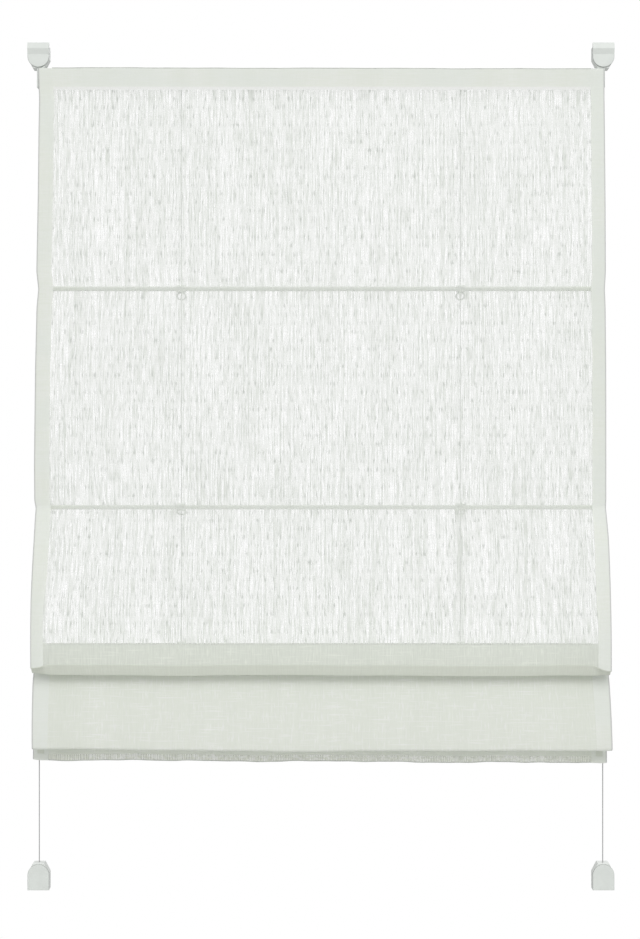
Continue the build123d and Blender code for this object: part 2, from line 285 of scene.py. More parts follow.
def make_hem():
    # Dense doubled cloth, a little cooler in clouds, with painted shade at its outer rim where it turns
    # round
    tree, place, _, finish = cloth_surface("linen_hem", glow=0.12)
    streak, band = slub_streaks(tree, place)
    grain = tree.math("ADD", streak, tree.streaks(place, HEM_WEFT))
    shade = tree.spread(grain, 0.78, 1.22, 0.0, 1.0)
    colour = tree.blend_colour(shade, YARN_PALE, YARN)
    broad = tree.spread(band, 0.35, 0.65, 0.0, 0.3)
    colour = tree.blend_colour(broad, colour, YARN_DEEP)
    cool = tree.spread(tree.streaks(place, HEM_CLOUDS), 0.4, 0.6, 0.0, 0.45)
    colour = tree.blend_colour(cool, colour, HEM_COOL)
    # Painted shade at the hem's outer rim, where the cloth turns round
    rim = tree.spread(tree.reach(place, "X"), RIM_SHADE_FROM, RIM_SHADE_TO, 0.0, 0.8)
    colour = tree.blend_colour(rim, colour, HEM_RIM_SHADE)
    return finish(colour, 0.94, grain, 0.3, 0.0005)


def moulded(name, colour, roughness, grain_scale, depth=0.0001, mottle=0.03, sides=0.0):
    # Satin plastic or coating: faint mottling, a fine moulded grain, and painted shade on faces that
    # turn to the sides
    material, tree, shader = surface(name)
    where = tree.add("TexCoord")
    place = where.outputs["Object"]
    cloud = tree.noise(place, 60.0, 2.0)
    share = tree.spread(cloud, 0.35, 0.65, 0.0, 1.0)
    tint = tree.blend_colour(share, colour, darkened(colour, 1 - 2 * mottle))
    # Painted shade: faces that turn away from the front are darkened
    if sides:
        side_shade_share = tree.spread(tree.reach(where.outputs["Normal"], "Y"), 0.15, 1.0, 1.0, 0.0)
        tint = tree.blend_colour(side_shade_share, tint, darkened(colour, 1 - sides))
    tree.link(tint, shader.inputs["Base Color"])
    grain = tree.noise(place, grain_scale, 2.0)
    rough = tree.spread(grain, 0.3, 0.7, roughness - 0.05, roughness + 0.05)
    tree.link(rough, shader.inputs["Roughness"])
    tree.link(tree.bump(grain, 0.12, depth), shader.inputs["Normal"])
    return material


def make_tape(name, colour, loops):
    # Tape with a dense pile: small hooks in rows, or a soft tangle of loops
    material, tree, shader = surface(name)
    place = tree.add("TexCoord").outputs["Object"]
    if loops:
        pile = tree.noise(place, 1500.0, 3.0, 0.7)
    else:
        rows = tree.add("TexVoronoi")
        tree.link(place, rows.inputs["Vector"])
        rows.inputs["Scale"].default_value = 900.0
        rows.inputs["Randomness"].default_value = 0.25
        pile = rows.outputs["Distance"]
    share = tree.spread(pile, 0.3, 0.7, 0.0, 1.0)
    tint = tree.blend_colour(share, colour, darkened(colour, 0.8))
    tree.link(tint, shader.inputs["Base Color"])
    shader.inputs["Roughness"].default_value = 0.95
    tree.link(tree.bump(pile, 0.8, 0.0008), shader.inputs["Normal"])
    return material


def make_braid(name, dark, pale):
    # Braided cord: slanting strands both ways, along the cord's own length
    material, tree, shader = surface(name)
    place = tree.add("UVMap", uv_map="braid").outputs["UV"]
    waves = []
    for lean in (1.0, -1.0):
        node = tree.add("TexWave", wave_type="BANDS", bands_direction="X")
        turn = tree.add("Mapping")
        turn.inputs["Rotation"].default_value = (0, 0, lean * math.radians(45))
        tree.link(place, turn.inputs["Vector"])
        tree.link(turn.outputs["Vector"], node.inputs["Vector"])
        node.inputs["Scale"].default_value = 1.6
        waves.append(node.outputs["Fac"])
    strands = tree.math("MAXIMUM", waves[0], waves[1])
    tree.link(tree.blend_colour(strands, dark, pale), shader.inputs["Base Color"])
    shader.inputs["Roughness"].default_value = 0.8
    tree.link(tree.bump(strands, 0.5, 0.0002), shader.inputs["Normal"])
    return material


def make_steel(name, colour, roughness):
    # Drawn steel with fine lines
    material, tree, shader = surface(name)
    place = tree.add("TexCoord").outputs["Object"]
    lines = tree.noise(tree.stretched(place, (1.0, 1.0, 14.0)), 500.0, 2.0)
    tint = tree.blend_colour(lines, colour, darkened(colour, 0.82))
    tree.link(tint, shader.inputs["Base Color"])
    rough = tree.spread(lines, 0.3, 0.7, roughness - 0.08, roughness + 0.08)
    tree.link(rough, shader.inputs["Roughness"])
    shader.inputs["Metallic"].default_value = 1.0
    return material


SHEER = make_sheer()
FOLDED = make_folded(
    "linen_folded",
    glow=0.12,
    gaps=(0.96, 1.0),
    pale=rgba(0.95, 0.965, 0.93),
    plain=YARN,
    deep=YARN_DEEP,
)
# Front of fold 1 over the cloth behind: the gaps show the real layers, and the darker yarn colours are
# painted shade
DOUBLE_SHADE = make_folded(
    "linen_double_painted_shade",
    glow=0.15,
    gaps=(0.66, 0.75),
    pale=YARN,
    plain=rgba(0.78, 0.81, 0.75),
    deep=rgba(0.765, 0.795, 0.735),
)
# Darker yarn for the first fold's crease, lip and underside, and for a patch of the side hem below the
# second fold: painted shade
FOLD_SHADE = make_folded(
    "linen_fold_painted_shade",
    glow=0.12,
    gaps=(0.95, 1.0),
    pale=YARN_DEEP,
    plain=rgba(0.785, 0.82, 0.735),
    deep=rgba(0.77, 0.80, 0.715),
)
STRIP = make_folded(
    "linen_bottom_hem",
    glow=0.3,
    gaps=(0.36, 1.0),
    pale=rgba(1.0, 1.0, 0.99),
    plain=rgba(0.87, 0.885, 0.82),
    deep=rgba(0.83, 0.845, 0.775),
    slubs=STRIP_SLUBS,
    contrast=(0.53, 0.58),
)
POCKET = make_folded(
    "linen_pocket",
    glow=0.5,
    gaps=(0.9, 0.98),
    pale=rgba(0.93, 0.945, 0.915),
    plain=rgba(0.895, 0.915, 0.88),
    deep=YARN,
)
SEAMED = make_folded(
    "linen_seam",
    glow=0.2,
    gaps=(0.93, 1.0),
    pale=rgba(0.98, 0.985, 0.97),
    plain=rgba(0.965, 0.975, 0.955),
    deep=rgba(0.94, 0.95, 0.92),
)
HEM = make_hem()
# Thin dark lines along the cloth's top and bottom edges: painted shade where the edge turns
EDGE_SHADE = moulded("edge_painted_shade", rgba(0.60, 0.63, 0.58), 0.9, 2600.0, depth=0.0003, mottle=0.12)
# The holders' and shoes' side faces carry painted shade
COVER = moulded("holder_satin", rgba(0.755, 0.79, 0.755), 0.38, 900.0, mottle=0.02, sides=0.42)
SHOE = moulded("shoe_satin", rgba(0.86, 0.89, 0.86), 0.42, 900.0, mottle=0.02, sides=0.12)
CAP = moulded("cap_moulded", rgba(0.76, 0.79, 0.76), 0.5, 700.0)
CLIP = moulded("clip_moulded", rgba(0.90, 0.92, 0.89), 0.4, 800.0)
ROD = moulded("rod_fibre", rgba(0.88, 0.90, 0.88), 0.45, 1100.0)
RAIL = moulded("rail_coating", rgba(0.80, 0.82, 0.80), 0.5, 1400.0, depth=0.00006)
HOOK = moulded("hook_coating", rgba(0.77, 0.80, 0.77), 0.45, 1200.0, depth=0.00008)
ANCHOR = moulded("anchor_moulded", rgba(0.62, 0.63, 0.60), 0.5, 800.0)
HOOK_TAPE = make_tape("tape_hooks", rgba(0.76, 0.77, 0.74), loops=False)
LOOP_TAPE = make_tape("tape_loops", rgba(0.78, 0.79, 0.76), loops=True)
BRAID = make_braid("cord_braid", rgba(0.31, 0.31, 0.32), rgba(0.50, 0.50, 0.50))
# A paler copy of the same braid, for the cords hanging behind the cloth: painted light
BRAID_PAINTED_LIGHT = make_braid("cord_braid_painted_light", rgba(0.74, 0.75, 0.74), rgba(0.92, 0.93, 0.92))
SPRING = make_steel("spring_steel", rgba(0.62, 0.62, 0.62), 0.3)
SCREW = make_steel("screw_steel", rgba(0.56, 0.56, 0.56), 0.35)


# Materials for the CAD nodes, by the first part of a name that fits
NODE_LOOKS = (
    ("rod_", ROD),
    ("ring_clip_", CLIP),
    ("head_rail", RAIL),
    ("moving_rail", RAIL),
    ("head_cap_", CAP),
    ("head_guide_", CAP),
    ("moving_cap_", CAP),
    ("moving_guide_", CAP),
    ("head_hook_tape", HOOK_TAPE),
    ("moving_hook_tape", HOOK_TAPE),
    ("head_loop_tape", LOOP_TAPE),
    ("moving_loop_tape", LOOP_TAPE),
    ("_cover", COVER),
    ("_shoe", SHOE),
    ("_hook", HOOK),
    ("_anchor", ANCHOR),
    ("_spring", SPRING),
    ("clamp_screws", SCREW),
    ("cord_", BRAID),
    ("cloth", HEM),
)
for name, node in nodes.items():
    for part_of_name, look in NODE_LOOKS:
        if part_of_name in name:
            node.data.materials.clear()
            node.data.materials.append(look)
            break


# Meshes
def new_mesh(name, points, faces, looks):
    mesh = bpy.data.meshes.new(name)
    mesh.from_pydata([tuple(p) for p in points], [], faces)
    for look in looks:
        mesh.materials.append(look)
    mesh.polygons.foreach_set("use_smooth", [True] * len(mesh.polygons))
    mesh.update()
    piece = bpy.data.objects.new(name, mesh)
    scene.collection.objects.link(piece)
    return piece


def set_uv(piece, name, corners):
    layer = piece.data.uv_layers.new(name=name)
    loops = np.zeros(len(piece.data.loops), dtype=np.int32)
    piece.data.loops.foreach_get("vertex_index", loops)
    layer.data.foreach_set("uv", np.asarray(corners, float)[loops].ravel())


# Cords: each in four stretches, along the same points as the part's own tubes
CORD_RADIUS = 0.7
CORD_X = 400.0
DROP_X = 198.0
# For each cord, the side of its top holder and the y of the plane it runs in
CORD_SIDES = {"a": (-1, -9.9), "b": (1, -8.1)}
RING_SIDES = 8
STRAIGHT_STEPS = 40
BENT_STEPS = 12
KNOT_SIZE = 1.7
KNOT_STRAND = 0.55
KNOT_POINTS = 48
# Units of the braid's texture round the cord, and cord radii to one unit along it
BRAID_ROUND = 4
BRAID_PITCH = 1.6
# Any direction that no stretch follows, to start the tube's rings from
OFF_AXIS = (0.3, 1.0, 0.2)


def spline_points(name, points, steps):
    curve = bpy.data.curves.new(name, "CURVE")
    curve.dimensions = "3D"
    spline = curve.splines.new("NURBS")
    spline.points.add(len(points) - 1)
    for target, point in zip(spline.points, points):
        target.co = (*point, 1.0)
    spline.order_u = 3
    spline.use_endpoint_u = True
    spline.resolution_u = steps
    holder = bpy.data.objects.new(name, curve)
    scene.collection.objects.link(holder)
    bpy.context.view_layer.update()
    mesh = bpy.data.meshes.new_from_object(holder)
    found = np.array([vertex.co[:] for vertex in mesh.vertices], float)
    bpy.data.objects.remove(holder)
    bpy.data.curves.remove(curve)
    bpy.data.meshes.remove(mesh)
    return found


def tube_mesh(name, path, radius, look, closed=False):
    count = len(path)
    sides = RING_SIDES
    if closed:
        headings = np.roll(path, -1, axis=0) - np.roll(path, 1, axis=0)
    else:
        headings = np.gradient(path, axis=0)
    headings /= np.linalg.norm(headings, axis=1)[:, None]
    side = np.cross(headings[0], OFF_AXIS)
    side /= np.linalg.norm(side)
    angles = np.linspace(0, 2 * math.pi, sides, endpoint=False)
    run = np.concatenate(([0], np.cumsum(np.linalg.norm(np.diff(path, axis=0), axis=1))))
    points = []
    places = []
    for middle, heading, way in zip(path, headings, run):
        side = side - heading * side.dot(heading)
        side /= np.linalg.norm(side)
        up = np.cross(heading, side)
        for number, angle in enumerate(angles):
            points.append(middle + radius * (math.cos(angle) * side + math.sin(angle) * up))
            places.append((number / sides * BRAID_ROUND, way / radius / BRAID_PITCH))
    faces = []
    for ring in range(count if closed else count - 1):
        first = ring * sides
        second = (ring + 1) % count * sides
        for number in range(sides):
            after = (number + 1) % sides
            faces.append((first + number, second + number, second + after, first + after))
    if not closed:
        faces.append(tuple(range(sides)))
        faces.append(tuple(range((count - 1) * sides, count * sides))[::-1])
    piece = new_mesh(name, points, faces, [look])
    set_uv(piece, "braid", places)
    return piece


def knot_mesh(name, middle):
    # A closed overhand knot: the trefoil curve, which reaches 3 units from its middle
    turns = np.linspace(0, 2 * math.pi, KNOT_POINTS, endpoint=False)
    path = np.stack(
        [
            np.sin(turns) + 2 * np.sin(2 * turns),
            np.cos(turns) - 2 * np.cos(2 * turns),
            -1.5 * np.sin(3 * turns),
        ],
        axis=1,
    )
    path = path / 3 * (KNOT_SIZE - KNOT_STRAND) * MM + np.array(middle)
    return tube_mesh(name, path, KNOT_STRAND * MM, BRAID, closed=True)


def placed(points, plane_y):
    return [(x * MM, plane_y * MM, z * MM) for x, z in points]


# A height for each tail's low end, in metres, and the body that carries each tail's knot
TAIL_STILL = -1.112
FAR_BODY = {"a": "bottom_right_anchor", "b": "bottom_left_anchor"}
for cord, (side, plane_y) in CORD_SIDES.items():
    routes = {
        "head": [
            (side * CORD_X, 25.2),
            (side * CORD_X, 7.4),
            (side * CORD_X, -1.0),
            (side * (CORD_X - 8.4), -1.0),
            (side * (DROP_X + 8.4), -1.0),
            (side * DROP_X, -1.0),
            (side * DROP_X, -9.4),
            (side * DROP_X, -14.3),
        ],
        "drop": [(side * DROP_X, -14.3), (side * DROP_X, -814.2)],
        "rail": [
            (side * DROP_X, -814.2),
            (side * DROP_X, -817.1),
            (side * DROP_X, -825.5),
            (side * (DROP_X - 8.4), -825.5),
            (-side * (CORD_X - 8.4), -825.5),
            (-side * CORD_X, -825.5),
            (-side * CORD_X, -833.0),
        ],
        "tail": [(-side * CORD_X, -833.0), (-side * CORD_X, -1135.7)],
    }
    for stretch, points in routes.items():
        name = f"cord_{cord}_{stretch}_braid"
        start = placed(points, plane_y)
        steps = STRAIGHT_STEPS if len(points) == 2 else BENT_STEPS
        path = spline_points(name + "_route", start, steps)
        # The drops behind the cloth get the paler braid: painted light
        look = BRAID_PAINTED_LIGHT if stretch == "drop" else BRAID
        piece = tube_mesh(name, path, CORD_RADIUS * MM, look)
        on_it = []
        if stretch == "head":
            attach(piece, "frame")
            on_it.append(knot_mesh(f"cord_{cord}_head_knot", start[0]))
            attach(on_it[0], "frame")
        elif stretch == "drop":
            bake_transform(piece)
        elif stretch == "rail":
            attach(piece, "stack")
        else:
            low = (start[1][0], start[1][1], TAIL_STILL)
            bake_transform(piece)
            on_it.append(knot_mesh(f"cord_{cord}_tail_knot", start[1]))
            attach(on_it[0], FAR_BODY[cord])
        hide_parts(f"cord_{cord}_{stretch}")


# Springs in the bottom holders
SPRING_TOP = -1116.0
SPRING_LENGTH = 12.0
SPRING_WIRE = 0.35
SPRING_RADIUS = 2.3
SPRING_TURNS = 7
SPRING_STEPS = 24
for name, side, cord in (("bottom_left", -1, "b"), ("bottom_right", 1, "a")):
    plane_y = CORD_SIDES[cord][1]
    turns = np.linspace(0, SPRING_TURNS, SPRING_TURNS * SPRING_STEPS + 1)
    reach = SPRING_LENGTH - 2 * SPRING_WIRE
    path = np.stack(
        [
            side * CORD_X + SPRING_RADIUS * np.cos(2 * math.pi * turns),
            plane_y + SPRING_RADIUS * np.sin(2 * math.pi * turns),
            SPRING_TOP - SPRING_WIRE - reach * turns / SPRING_TURNS,
        ],
        axis=1,
    )
    piece = tube_mesh(f"{name}_coil", path * MM, SPRING_WIRE * MM, SPRING)
    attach(piece, "frame")
    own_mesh(piece)
    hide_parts(f"{name}_spring")


# Lines in the side view, as (y, z) points
def straight(first, last, step):
    first, last = np.array(first), np.array(last)
    count = max(2, int(round(np.linalg.norm(last - first) / step)) + 1)
    return np.linspace(first, last, count)


def arc(first, middle, last, step):
    # The arc through three points
    (ax, ay), (bx, by), (cx, cy) = first, middle, last
    double = 2 * (ax * (by - cy) + bx * (cy - ay) + cx * (ay - by))
    squares = [x * x + y * y for x, y in (first, middle, last)]
    centre = np.array(
        [
            squares[0] * (by - cy) + squares[1] * (cy - ay) + squares[2] * (ay - by),
            squares[0] * (cx - bx) + squares[1] * (ax - cx) + squares[2] * (bx - ax),
        ]
    )
    centre = centre / double
    start, mid, end = [math.atan2(*(np.array(p) - centre)[::-1]) for p in (first, middle, last)]
    sweep = (end - start) % (2 * math.pi)
    if (mid - start) % (2 * math.pi) > sweep:
        sweep -= 2 * math.pi
    radius = np.linalg.norm(np.array(first) - centre)
    count = max(4, int(round(abs(sweep) * radius / step)) + 1)
    angles = start + np.linspace(0, sweep, count)
    return centre + radius * np.stack([np.cos(angles), np.sin(angles)], axis=1)


def turned(vector, angle):
    return np.array(
        [
            vector[0] * math.cos(angle) - vector[1] * math.sin(angle),
            vector[0] * math.sin(angle) + vector[1] * math.cos(angle),
        ]
    )


def end_heading(line):
    # Equal steps on one circle or straight: the last chord, turned on by half the turn between chords
    before = line[-2] - line[-3]
    final = line[-1] - line[-2]
    turn = math.atan2(before[0] * final[1] - before[1] * final[0], before.dot(final))
    heading = turned(final, turn / 2)
    return heading / np.linalg.norm(heading)


def swung(first, centre, angle, radius, step):
    count = max(4, int(round(abs(angle * radius) / step)) + 1)
    arm = first - centre
    return np.array([centre + turned(arm, angle * share) for share in np.linspace(0, 1, count)])


def arc_on(line, last, step):
    # The arc that goes on smoothly from the end of a line to a point
    first = line[-1]
    heading = end_heading(line)
    aside = np.array([-heading[1], heading[0]])
    way = np.array(last) - first
    radius = way.dot(way) / (2 * aside.dot(way))
    angle = 2 * math.atan2(aside.dot(way), heading.dot(way))
    return swung(first, first + aside * radius, angle, radius, step)


def bend(line, degrees, radius, step):
    # A turn to the back that goes on smoothly from the end of a line
    first = line[-1]
    heading = end_heading(line)
    aside = np.array([-heading[1], heading[0]])
    return swung(first, first + radius * aside, math.radians(degrees), radius, step)


def onward(line, distance, step):
    return straight(line[-1], line[-1] + distance * end_heading(line), step)


# Cloth, in the side view from the back of the top hem to the inside of the bottom hem
CLOTH_Y = -20.5
BACK_Y = -20.2
TOP_Z = 13.2
BAND_LOW = -13.4
# Height of the line of painted shade along the top and bottom edges
EDGE_SHADE_WIDTH = 1.1
SEAM = 4.3
ROD_Z = (-298.6, -607.6, -803.0)
ROD_Y = -17.55
POCKET_FRONT = 3.0
BOTTOM_Z = -967.2
BOTTOM_HEM = 25.0

# Points that the folds go through, each as its distance in front of the flat cloth and its height
FRONT_1_MIDDLE = (38.5, -736.0)
FRONT_1_LOW = (46.5, -825.0)
BACK_1_TOP = (-0.9, -801.2)
FRONT_2_MIDDLE = (17.0, -850.0)
FRONT_2_LOW = (28.5, -911.0)
CURL_2_LOW = (29.5, -944.8)
BACK_2_TOP = (1.2, -812.0)
# Depth of the turn from the second fold's back to the last panel
TURN_2_DEEP = 1.2

# Bends of the folds, as degrees and radius, and the lip between the two bends of fold 1
CREASE_1 = (40.0, 3.5)
LIP_LENGTH = 18.0
UNDER_1 = (98.0, 2.2)
UNDER_2 = (150.0, 4.0)

# Bottom hem: two layers behind the last panel, turned up, over and down
HEM_TURN = (180.0, 0.3)
HEM_UP_BACK = 0.6
HEM_DOWN_BACK = 1.1
HEM_FOLD_HIGH = 24.4
HEM_END_HIGH = 1.2

# Spacing of the points along the side view
STEP_PANEL = 4.0
STEP_BAND = 3.0
STEP_FRONT_1 = 3.2
STEP_LIP = 2.5
STEP_CURL = 3.0
STEP_BACK_2 = 5.0
STEP_EDGE_SHADE = 1.0
STEP_UNDER_2 = 0.8
STEP_CREASE = 0.6
STEP_UNDER_1 = 0.5
STEP_HEM_TURN = 0.3
STEP_TOP_TURN = 0.2
SAME_POINT = 0.02


def ahead(distance, height):
    return np.array([CLOTH_Y - distance, height])


def flat_panel():
    # Top edge, band, seam, and the single cloth with the fronts of two rod pockets
    stops = (
        (TOP_Z - EDGE_SHADE_WIDTH, STEP_EDGE_SHADE),
        (BAND_LOW, STEP_BAND),
        (BAND_LOW - SEAM, SEAM),
        (ROD_Z[0] + POCKET_FRONT, STEP_PANEL),
        (ROD_Z[0] - POCKET_FRONT, POCKET_FRONT),
        (ROD_Z[1] + POCKET_FRONT, STEP_PANEL),
        (ROD_Z[1], POCKET_FRONT),
    )
    runs = []
    high = TOP_Z
    for low, step in stops:
        runs.append(straight(ahead(0, high), ahead(0, low), step))
        high = low
    return np.concatenate(runs)


def cloth_profile():
    parts = {}
    parts["top_back"] = straight((BACK_Y, BAND_LOW), (BACK_Y, TOP_Z), STEP_PANEL)
    parts["top_turn"] = arc_on(parts["top_back"], ahead(0, TOP_Z), STEP_TOP_TURN)
    parts["flat"] = flat_panel()
    parts["front_1"] = arc(ahead(0, ROD_Z[1]), ahead(*FRONT_1_MIDDLE), ahead(*FRONT_1_LOW), STEP_FRONT_1)
    parts["crease_1"] = bend(parts["front_1"], *CREASE_1, STEP_CREASE)
    parts["lip_1"] = onward(parts["crease_1"], LIP_LENGTH, STEP_LIP)
    parts["under_1"] = bend(parts["lip_1"], *UNDER_1, STEP_UNDER_1)
    parts["back_1"] = arc_on(parts["under_1"], ahead(*BACK_1_TOP), STEP_PANEL)
    parts["front_2"] = arc(ahead(0, ROD_Z[2]), ahead(*FRONT_2_MIDDLE), ahead(*FRONT_2_LOW), STEP_PANEL)
    parts["curl_2"] = arc_on(parts["front_2"], ahead(*CURL_2_LOW), STEP_CURL)
    parts["under_2"] = bend(parts["curl_2"], *UNDER_2, STEP_UNDER_2)
    parts["back_2"] = arc_on(parts["under_2"], ahead(*BACK_2_TOP), STEP_BACK_2)
    behind = parts["back_2"][-1] + np.array([TURN_2_DEEP, 0])
    parts["turn_2"] = arc_on(parts["back_2"], behind, STEP_CREASE)
    # The bottom edge's line of painted shade starts here
    thread = ahead(0, BOTTOM_Z + EDGE_SHADE_WIDTH)
    last_run = straight(parts["turn_2"][-1], thread, STEP_PANEL)
    last_edge = straight(thread, ahead(0, BOTTOM_Z), STEP_EDGE_SHADE)
    parts["last"] = np.concatenate([last_run, last_edge])
    parts["hem_turn"] = bend(parts["last"][-4:], *HEM_TURN, STEP_HEM_TURN)
    hem_fold = BOTTOM_Z + HEM_FOLD_HIGH
    parts["hem_up"] = straight(ahead(-HEM_UP_BACK, BOTTOM_Z), ahead(-HEM_UP_BACK, hem_fold), STEP_PANEL)
    fold_back = ahead(-HEM_DOWN_BACK, hem_fold)
    parts["hem_over"] = arc_on(parts["hem_up"], fold_back, STEP_HEM_TURN)
    hem_end = ahead(-HEM_DOWN_BACK, BOTTOM_Z + HEM_END_HIGH)
    parts["hem_down"] = straight(fold_back, hem_end, STEP_PANEL)
    return parts


line = []
labels = []
for label, part_points in cloth_profile().items():
    for point in part_points:
        if line and np.linalg.norm(point - line[-1]) < SAME_POINT:
            continue
        line.append(point)
        labels.append(label)
line = np.array(line)
labels = np.array(labels)
line_z = line[:, 1]
steps = np.linalg.norm(np.diff(line, axis=0), axis=1)
along = np.concatenate(([0], np.cumsum(steps)))
along -= along[np.argmax(labels == "flat")]
tangent = np.gradient(line, axis=0)
tangent /= np.linalg.norm(tangent, axis=1)[:, None]
normal = np.stack([tangent[:, 1], -tangent[:, 0]], axis=1)


def ends(label):
    chosen = along[labels == label]
    return chosen[0], chosen[-1]


rod_1_along = TOP_Z - ROD_Z[0]
rod_2_along = TOP_Z - ROD_Z[1]
rod_3_along = ends("back_1")[1]
fold_1_low = ends("under_1")
fold_2_top = ends("front_2")[0]
fold_2_low = ends("under_2")
fold_2_end = ends("back_2")[1]
last_top, last_low = ends("last")

# Width of the cloth: a side hem goes round from its back layer to its front as (x, distance in front)
HALF = 402.0
HEM_WIDTH = 18.0
HEM_IN = HALF - HEM_WIDTH
MIDDLE_COLUMNS = 129
HEM_OUTLINE = (
    (HEM_IN, -0.95),
    (HEM_IN + 5.0, -0.9),
    (HALF - 5.0, -0.9),
    (HALF - 1.4, -0.8),
    (HALF - 0.3, -0.62),
    (HALF, -0.38),
    (HALF - 0.3, -0.08),
    (HALF - 1.4, 0.12),
    (HALF - 5.0, 0.2),
    (HEM_IN + 5.0, 0.2),
    (HEM_IN + 0.5, 0.12),
)
# What lies further back than this is the back layer of a hem
BACK_LAYER = -0.5

# Columns of points across the width: (x, distance in front, is it hem)
columns = [(-x, out, True) for x, out in HEM_OUTLINE]
columns += [(x, 0.0, False) for x in np.linspace(-HEM_IN, HEM_IN, MIDDLE_COLUMNS)]
columns += [(x, out, True) for x, out in HEM_OUTLINE[::-1]]
column_x = np.array([column[0] for column in columns])
column_out = np.array([column[1] for column in columns])
column_hem = np.array([column[2] for column in columns])
back_layer = column_out < BACK_LAYER

# How far each edge stands from the middle: (length along the cloth, left, right)
EDGES = (
    (0.0, 400.0, 400.7),
    (42.0, 398.4, 400.9),
    (90.0, 399.2, 401.4),
    (180.0, 400.2, 402.2),
    (286.0, 402.3, 402.8),
    (rod_1_along, 399.6, 401.4),
    (rod_1_along + 26.0, 402.0, 402.4),
    (420.0, 404.0, 403.2),
    (560.0, 405.6, 403.4),
    (611.0, 405.2, 403.4),
    (rod_2_along, 403.2, 402.8),
    (rod_2_along + 45.0, 403.2, 404.2),
    (755.0, 404.0, 403.6),
    (fold_1_low[0], 403.0, 403.4),
    (rod_3_along, 402.4, 402.6),
    (fold_2_top + 55.0, 404.6, 405.0),
    (fold_2_low[0], 404.0, 407.4),
    (fold_2_low[1], 404.0, 407.0),
    (last_top, 404.0, 403.4),
    (last_low, 407.2, 404.4),
)
# How much wider each side hem shows than its cut: (length along the cloth, left, right)
HEM_WIDER = (
    (0.0, 2.0, 1.0),
    (42.0, 3.2, 1.2),
    (rod_2_along, 3.6, 1.6),
    (716.0, 3.4, 2.4),
    (760.0, 0.0, 1.8),
    (795.0, -1.5, 0.0),
    (fold_1_low[0], 0.5, 1.0),
    (rod_3_along, 1.5, 1.5),
    (fold_2_top + 50.0, 5.5, 5.5),
    (fold_2_low[0], 4.0, 4.0),
    (last_low, 4.0, 4.0),
)
# Over this width beside a hem the cloth gives way to it
HEM_FADE = 120.0

# Slow waves across the width: (size, span, phase)
PANEL_WAVES = ((0.45, 310.0, 0.4), (0.35, 173.0, 2.1), (0.2, 97.0, 4.4))
FOLD_WAVES = ((0.8, 420.0, 1.3), (0.45, 210.0, 3.0), (0.25, 118.0, 0.2))
TOP_WAVES = ((0.18, 330.0, 0.7), (0.14, 140.0, 2.2), (0.1, 62.0, 4.0))
HEM_WAVES = ((0.9, 265.0, 0.9), (0.7, 131.0, 2.6), (0.5, 71.0, 5.1), (0.3, 38.0, 1.0))

# Bellies of the flat panels between the band and the rods, and the second fold's share of the waves
BELLY = 0.55
BELLY_BELOW_BAND = 20.0
BELLY_FROM_ROD = 4.0
FOLD_2_WAVE = 0.8
# The side hems go round the ends of the rods at the back
ROD_WRAP_REACH = 3.4
ROD_WRAP_DEPTH = 4.4

# How the creases of both folds wave, tilt and bow
CREASE_WAVE = 0.6
CREASE_1_SHIFT = 40.0
CREASE_1_TILT = 0.7
CREASE_2_SHIFT = -130.0
CREASE_2_TILT = 0.8
CREASE_2_BOW = 2.2
# The top edge waves and tilts, and this far down its front and its back the cloth no longer does
TOP_FRONT_REACH = 30.0
TOP_BACK_REACH = 28.0
TOP_TILT = 0.8
# Tips of the first fold's hems: the crease drops and the lip's end lifts, at the left and at the right
TIP_FROM = 26.0
TIP_FULL = 6.0
TIP_LIFT = (2.8, 1.2)
TIP_LIFT_REACH = 18.0
TIP_DROP = (5.0, 8.0)
TIP_DROP_REACH = 6.0
# The last panel's lower edge waves and tilts, and its corners turn up
SLACK_FROM = 40.0
SLACK_WAVE = 0.6
SLACK_TILT = 2.2
CORNER_WIDTH = 9.0
CORNER_LIFT = 1.2

rows = len(line)
wide = len(columns)
across = np.tile(column_x, (rows, 1))
length = np.tile(along[:, None], (1, wide))
on_left = across < 0
from_middle = np.abs(across)
tilt = across / HALF


def ripple(x, terms):
    return sum(size * np.sin(2 * math.pi * x / span + turn) for size, span, turn in terms)


def swell(value, low, high):
    # Up from 0 to 1 and back
    share = np.clip((value - low) / (high - low), 0, 1)
    return np.sin(math.pi * share) ** 2


def climb(value, low, high):
    # Smoothly from 0 to 1
    share = np.clip((value - low) / (high - low), 0, 1)
    return share * share * (3 - 2 * share)


def by_length(table):
    stops, left, right = np.array(table).T
    left = np.interp(along, stops, left)[:, None]
    right = np.interp(along, stops, right)[:, None]
    return np.where(on_left, left, right)


def places_across():
    # The hem keeps its width: only its place shifts with the edge
    shift = np.where(on_left, -1, 1) * (by_length(EDGES) - HALF)
    moved = across + shift * np.clip(from_middle / HEM_IN, 0, 1)
    hem_share = np.clip((HALF - from_middle) / HEM_WIDTH, 0, 1)
    hem_share = hem_share * np.clip(1 - (HEM_IN - from_middle) / HEM_FADE, 0, 1)
    return moved - np.sign(across) * by_length(HEM_WIDER) * hem_share


def distances_out():
    # How far each point stands in front of the side view's line
    panel = swell(length, BELLY_BELOW_BAND - BAND_LOW, rod_1_along - BELLY_FROM_ROD)
    panel = panel + swell(length, rod_1_along + BELLY_FROM_ROD, rod_2_along - BELLY_FROM_ROD)
    out = np.tile(column_out, (rows, 1))
    out = out + panel * BELLY * (1 + ripple(across, PANEL_WAVES))
    forward = -normal[:, 0][:, None]
    waves = ripple(across, FOLD_WAVES)
    out = out + swell(length, rod_2_along, rod_3_along) * forward * waves
    out = out + swell(length, fold_2_top, fold_2_end) * forward * FOLD_2_WAVE * waves
    for rod_along in (rod_1_along, rod_2_along):
        near = np.exp(-(((rod_along - length) / ROD_WRAP_REACH) ** 2))
        out = out - np.where(back_layer[None, :], near * ROD_WRAP_DEPTH, 0)
    return out


